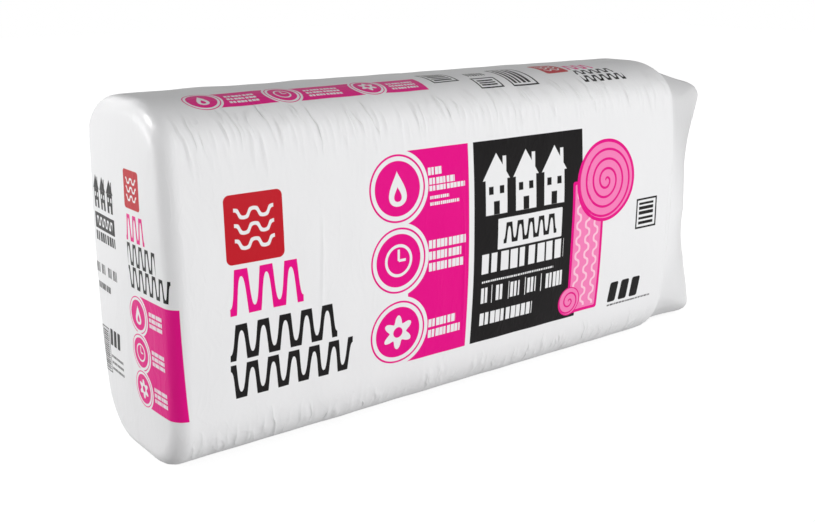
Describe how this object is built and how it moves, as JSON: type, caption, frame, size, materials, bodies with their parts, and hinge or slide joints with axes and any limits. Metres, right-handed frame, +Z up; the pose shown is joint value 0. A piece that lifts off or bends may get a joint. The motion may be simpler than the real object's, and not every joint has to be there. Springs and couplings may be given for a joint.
{
  "type": "bag of faced fiberglass batts",
  "caption": "White film bag of compressed kraft-faced fiberglass insulation batts, standing on its long narrow side, with soft rounded edges and loose closed film at one end.",
  "frame": {"origin": "on the floor, under the middle of the bag's full length and depth", "axes": "+X along the bag towards the loose end of the film, +Y from its printed front face to its back face, +Z up"},
  "size_m": [1.4134, 0.3308, 0.635],
  "materials": {
    "bag_film": "white polyethylene film with a soft sheen",
    "glass_wool": "matt pink glass wool",
    "kraft_paper": "matt brown kraft paper"
  },
  "bodies": {
    "root": {"film_bag": "bag_film", "fiberglass_batt_01": "glass_wool", "fiberglass_batt_02": "glass_wool", "fiberglass_batt_03": "glass_wool", "fiberglass_batt_04": "glass_wool", "fiberglass_batt_05": "glass_wool", "fiberglass_batt_06": "glass_wool", "fiberglass_batt_07": "glass_wool", "fiberglass_batt_08": "glass_wool", "fiberglass_batt_09": "glass_wool", "fiberglass_batt_10": "glass_wool", "fiberglass_batt_11": "glass_wool", "kraft_facing_01": "kraft_paper", "kraft_facing_02": "kraft_paper", "kraft_facing_03": "kraft_paper", "kraft_facing_04": "kraft_paper", "kraft_facing_05": "kraft_paper", "kraft_facing_06": "kraft_paper", "kraft_facing_07": "kraft_paper", "kraft_facing_08": "kraft_paper", "kraft_facing_09": "kraft_paper", "kraft_facing_10": "kraft_paper", "kraft_facing_11": "kraft_paper"}
  },
  "joints": []
}
